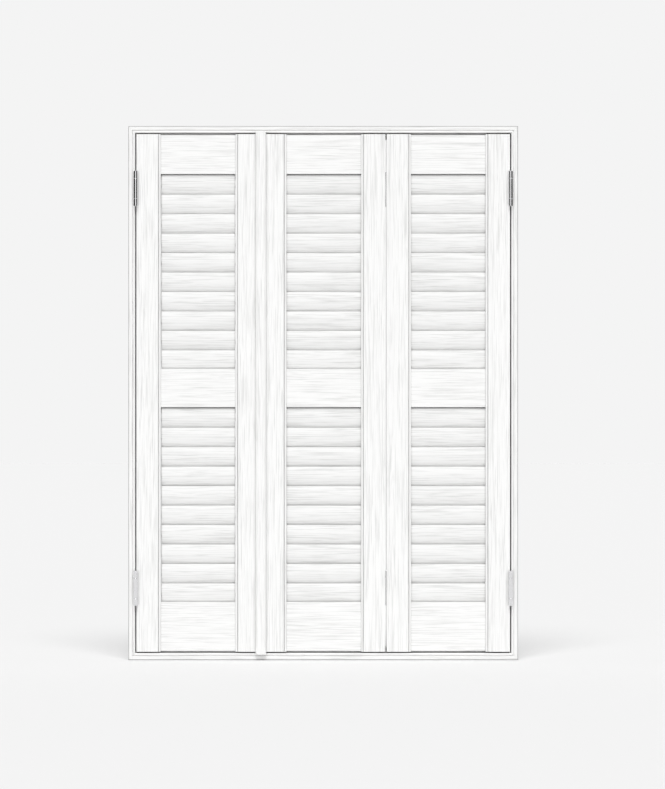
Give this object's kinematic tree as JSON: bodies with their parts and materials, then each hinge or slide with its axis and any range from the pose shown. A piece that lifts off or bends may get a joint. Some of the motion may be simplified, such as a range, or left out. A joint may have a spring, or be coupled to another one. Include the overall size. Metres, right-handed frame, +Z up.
{
  "type": "louvred shutters",
  "caption": "Louvred window shutters of hinged panels with tilting slats, hung in a slim beaded frame.",
  "frame": {"origin": "middle of the underside of the sill, at mid depth of the frame", "axes": "+X to the right seen from the front, +Y to the back through the depth, +Z up"},
  "size_m": [0.8, 0.0558, 1.096],
  "materials": {
    "painted_wood_upright": "satin white paint over an open grain that runs upwards",
    "painted_wood_across": "satin white paint over an open grain that runs across",
    "hinge_metal": "polished",
    "screw_metal": "polished",
    "strip_aluminium": "satin",
    "magnet": "plated magnet",
    "keeper_steel": "zinc plated"
  },
  "bodies": {
    "frame": {"frame_left_jamb": "painted_wood_upright", "frame_right_jamb": "painted_wood_upright", "frame_head": "painted_wood_across", "frame_sill": "painted_wood_across", "frame_hinge_leaves": "hinge_metal", "jamb_hinge_pins": "hinge_metal", "frame_hinge_screws": "screw_metal", "catch_magnets": "magnet"},
    "left_panel": {"left_hanging_stile": "painted_wood_upright", "left_meeting_stile": "painted_wood_upright", "left_top_rail": "painted_wood_across", "left_cross_rail": "painted_wood_across", "left_bottom_rail": "painted_wood_across", "left_hinge_leaves": "hinge_metal", "left_hinge_screws": "screw_metal", "left_keepers": "keeper_steel"},
    "middle_panel": {"middle_meeting_stile": "painted_wood_upright", "middle_fold_stile": "painted_wood_upright", "middle_top_rail": "painted_wood_across", "middle_cross_rail": "painted_wood_across", "middle_bottom_rail": "painted_wood_across", "meeting_strip": "painted_wood_upright", "middle_louvres": "painted_wood_across", "middle_tilt_strips": "strip_aluminium", "middle_fold_leaves": "hinge_metal", "middle_hinge_screws": "screw_metal", "middle_keepers": "keeper_steel"},
    "right_panel": {"right_fold_stile": "painted_wood_upright", "right_hanging_stile": "painted_wood_upright", "right_top_rail": "painted_wood_across", "right_cross_rail": "painted_wood_across", "right_bottom_rail": "painted_wood_across", "right_louvres": "painted_wood_across", "right_tilt_strips": "strip_aluminium", "right_hinge_leaves": "hinge_metal", "right_fold_leaves": "hinge_metal", "right_hinge_screws": "screw_metal", "fold_hinge_pins": "hinge_metal"},
    "left_upper_louvre_01": {"left_upper_louvre_01": "painted_wood_across"},
    "left_upper_louvre_02": {"left_upper_louvre_02": "painted_wood_across"},
    "left_upper_louvre_03": {"left_upper_louvre_03": "painted_wood_across"},
    "left_upper_louvre_04": {"left_upper_louvre_04": "painted_wood_across"},
    "left_upper_louvre_05": {"left_upper_louvre_05": "painted_wood_across"},
    "left_upper_louvre_06": {"left_upper_louvre_06": "painted_wood_across"},
    "left_upper_louvre_07": {"left_upper_louvre_07": "painted_wood_across"},
    "left_upper_louvre_08": {"left_upper_louvre_08": "painted_wood_across"},
    "left_upper_louvre_09": {"left_upper_louvre_09": "painted_wood_across"},
    "left_upper_louvre_10": {"left_upper_louvre_10": "painted_wood_across"},
    "left_upper_tilt_strip": {"left_upper_tilt_strip": "strip_aluminium"},
    "left_lower_louvre_01": {"left_lower_louvre_01": "painted_wood_across"},
    "left_lower_louvre_02": {"left_lower_louvre_02": "painted_wood_across"},
    "left_lower_louvre_03": {"left_lower_louvre_03": "painted_wood_across"},
    "left_lower_louvre_04": {"left_lower_louvre_04": "painted_wood_across"},
    "left_lower_louvre_05": {"left_lower_louvre_05": "painted_wood_across"},
    "left_lower_louvre_06": {"left_lower_louvre_06": "painted_wood_across"},
    "left_lower_louvre_07": {"left_lower_louvre_07": "painted_wood_across"},
    "left_lower_louvre_08": {"left_lower_louvre_08": "painted_wood_across"},
    "left_lower_louvre_09": {"left_lower_louvre_09": "painted_wood_across"},
    "left_lower_louvre_10": {"left_lower_louvre_10": "painted_wood_across"},
    "left_lower_tilt_strip": {"left_lower_tilt_strip": "strip_aluminium"}
  },
  "joints": [
    {"name": "right_swing", "type": "hinge", "parent": "frame", "child": "right_panel", "pos_m": [0.3847, -0.0283, 0.548], "axis": [0, 0, 1], "range_deg": [0, 175]},
    {"name": "fold", "type": "hinge", "parent": "right_panel", "child": "middle_panel", "pos_m": [0.12903, 0.0083, 0.548], "axis": [0, 0, 1], "range_deg": [-175, 0]},
    {"name": "left_swing", "type": "hinge", "parent": "frame", "child": "left_panel", "pos_m": [-0.3847, -0.0283, 0.548], "axis": [0, 0, 1], "range_deg": [-175, 0]},
    {"name": "upper_louvre_tilt_01", "type": "hinge", "parent": "left_panel", "child": "left_upper_louvre_01", "pos_m": [-0.25687, -0.01, 0.97241], "axis": [1, 0, 0], "range_deg": [0, 75]},
    {"name": "upper_louvre_tilt_02", "type": "hinge", "parent": "left_panel", "child": "left_upper_louvre_02", "pos_m": [-0.25687, -0.01, 0.93241], "axis": [1, 0, 0], "range_deg": [0, 75]},
    {"name": "upper_louvre_tilt_03", "type": "hinge", "parent": "left_panel", "child": "left_upper_louvre_03", "pos_m": [-0.25687, -0.01, 0.89241], "axis": [1, 0, 0], "range_deg": [0, 75]},
    {"name": "upper_louvre_tilt_04", "type": "hinge", "parent": "left_panel", "child": "left_upper_louvre_04", "pos_m": [-0.25687, -0.01, 0.85241], "axis": [1, 0, 0], "range_deg": [0, 75]},
    {"name": "upper_louvre_tilt_05", "type": "hinge", "parent": "left_panel", "child": "left_upper_louvre_05", "pos_m": [-0.25687, -0.01, 0.81241], "axis": [1, 0, 0], "range_deg": [0, 75]},
    {"name": "upper_louvre_tilt_06", "type": "hinge", "parent": "left_panel", "child": "left_upper_louvre_06", "pos_m": [-0.25687, -0.01, 0.77241], "axis": [1, 0, 0], "range_deg": [0, 75]},
    {"name": "upper_louvre_tilt_07", "type": "hinge", "parent": "left_panel", "child": "left_upper_louvre_07", "pos_m": [-0.25687, -0.01, 0.73241], "axis": [1, 0, 0], "range_deg": [0, 75]},
    {"name": "upper_louvre_tilt_08", "type": "hinge", "parent": "left_panel", "child": "left_upper_louvre_08", "pos_m": [-0.25687, -0.01, 0.69241], "axis": [1, 0, 0], "range_deg": [0, 75]},
    {"name": "upper_louvre_tilt_09", "type": "hinge", "parent": "left_panel", "child": "left_upper_louvre_09", "pos_m": [-0.25687, -0.01, 0.65241], "axis": [1, 0, 0], "range_deg": [0, 75]},
    {"name": "upper_louvre_tilt_10", "type": "hinge", "parent": "left_panel", "child": "left_upper_louvre_10", "pos_m": [-0.25687, -0.01, 0.61241], "axis": [1, 0, 0], "range_deg": [0, 75]},
    {"name": "upper_tilt_strip", "type": "hinge", "parent": "left_upper_louvre_05", "child": "left_upper_tilt_strip", "pos_m": [-0.2998, 0.0035, 0.78841], "axis": [1, 0, 0], "range_deg": [-75, 0]},
    {"name": "lower_louvre_tilt_01", "type": "hinge", "parent": "left_panel", "child": "left_lower_louvre_01", "pos_m": [-0.25687, -0.01, 0.49341], "axis": [1, 0, 0], "range_deg": [0, 75]},
    {"name": "lower_louvre_tilt_02", "type": "hinge", "parent": "left_panel", "child": "left_lower_louvre_02", "pos_m": [-0.25687, -0.01, 0.45341], "axis": [1, 0, 0], "range_deg": [0, 75]},
    {"name": "lower_louvre_tilt_03", "type": "hinge", "parent": "left_panel", "child": "left_lower_louvre_03", "pos_m": [-0.25687, -0.01, 0.41341], "axis": [1, 0, 0], "range_deg": [0, 75]},
    {"name": "lower_louvre_tilt_04", "type": "hinge", "parent": "left_panel", "child": "left_lower_louvre_04", "pos_m": [-0.25687, -0.01, 0.37341], "axis": [1, 0, 0], "range_deg": [0, 75]},
    {"name": "lower_louvre_tilt_05", "type": "hinge", "parent": "left_panel", "child": "left_lower_louvre_05", "pos_m": [-0.25687, -0.01, 0.33341], "axis": [1, 0, 0], "range_deg": [0, 75]},
    {"name": "lower_louvre_tilt_06", "type": "hinge", "parent": "left_panel", "child": "left_lower_louvre_06", "pos_m": [-0.25687, -0.01, 0.29341], "axis": [1, 0, 0], "range_deg": [0, 75]},
    {"name": "lower_louvre_tilt_07", "type": "hinge", "parent": "left_panel", "child": "left_lower_louvre_07", "pos_m": [-0.25687, -0.01, 0.25341], "axis": [1, 0, 0], "range_deg": [0, 75]},
    {"name": "lower_louvre_tilt_08", "type": "hinge", "parent": "left_panel", "child": "left_lower_louvre_08", "pos_m": [-0.25687, -0.01, 0.21341], "axis": [1, 0, 0], "range_deg": [0, 75]},
    {"name": "lower_louvre_tilt_09", "type": "hinge", "parent": "left_panel", "child": "left_lower_louvre_09", "pos_m": [-0.25687, -0.01, 0.17341], "axis": [1, 0, 0], "range_deg": [0, 75]},
    {"name": "lower_louvre_tilt_10", "type": "hinge", "parent": "left_panel", "child": "left_lower_louvre_10", "pos_m": [-0.25687, -0.01, 0.13341], "axis": [1, 0, 0], "range_deg": [0, 75]},
    {"name": "lower_tilt_strip", "type": "hinge", "parent": "left_lower_louvre_05", "child": "left_lower_tilt_strip", "pos_m": [-0.2998, 0.0035, 0.30941], "axis": [1, 0, 0], "range_deg": [-75, 0]}
  ],
  "couplings": [
    {"joint": "fold", "follows": "right_swing", "ratio": -1},
    {"joint": "left_swing", "follows": "right_swing", "ratio": -1},
    {"joint": "upper_louvre_tilt_01", "follows": "upper_louvre_tilt_05", "ratio": 1},
    {"joint": "upper_louvre_tilt_02", "follows": "upper_louvre_tilt_05", "ratio": 1},
    {"joint": "upper_louvre_tilt_03", "follows": "upper_louvre_tilt_05", "ratio": 1},
    {"joint": "upper_louvre_tilt_04", "follows": "upper_louvre_tilt_05", "ratio": 1},
    {"joint": "upper_louvre_tilt_06", "follows": "upper_louvre_tilt_05", "ratio": 1},
    {"joint": "upper_louvre_tilt_07", "follows": "upper_louvre_tilt_05", "ratio": 1},
    {"joint": "upper_louvre_tilt_08", "follows": "upper_louvre_tilt_05", "ratio": 1},
    {"joint": "upper_louvre_tilt_09", "follows": "upper_louvre_tilt_05", "ratio": 1},
    {"joint": "upper_louvre_tilt_10", "follows": "upper_louvre_tilt_05", "ratio": 1},
    {"joint": "upper_tilt_strip", "follows": "upper_louvre_tilt_05", "ratio": -1},
    {"joint": "lower_louvre_tilt_01", "follows": "lower_louvre_tilt_05", "ratio": 1},
    {"joint": "lower_louvre_tilt_02", "follows": "lower_louvre_tilt_05", "ratio": 1},
    {"joint": "lower_louvre_tilt_03", "follows": "lower_louvre_tilt_05", "ratio": 1},
    {"joint": "lower_louvre_tilt_04", "follows": "lower_louvre_tilt_05", "ratio": 1},
    {"joint": "lower_louvre_tilt_06", "follows": "lower_louvre_tilt_05", "ratio": 1},
    {"joint": "lower_louvre_tilt_07", "follows": "lower_louvre_tilt_05", "ratio": 1},
    {"joint": "lower_louvre_tilt_08", "follows": "lower_louvre_tilt_05", "ratio": 1},
    {"joint": "lower_louvre_tilt_09", "follows": "lower_louvre_tilt_05", "ratio": 1},
    {"joint": "lower_louvre_tilt_10", "follows": "lower_louvre_tilt_05", "ratio": 1},
    {"joint": "lower_tilt_strip", "follows": "lower_louvre_tilt_05", "ratio": -1}
  ]
}
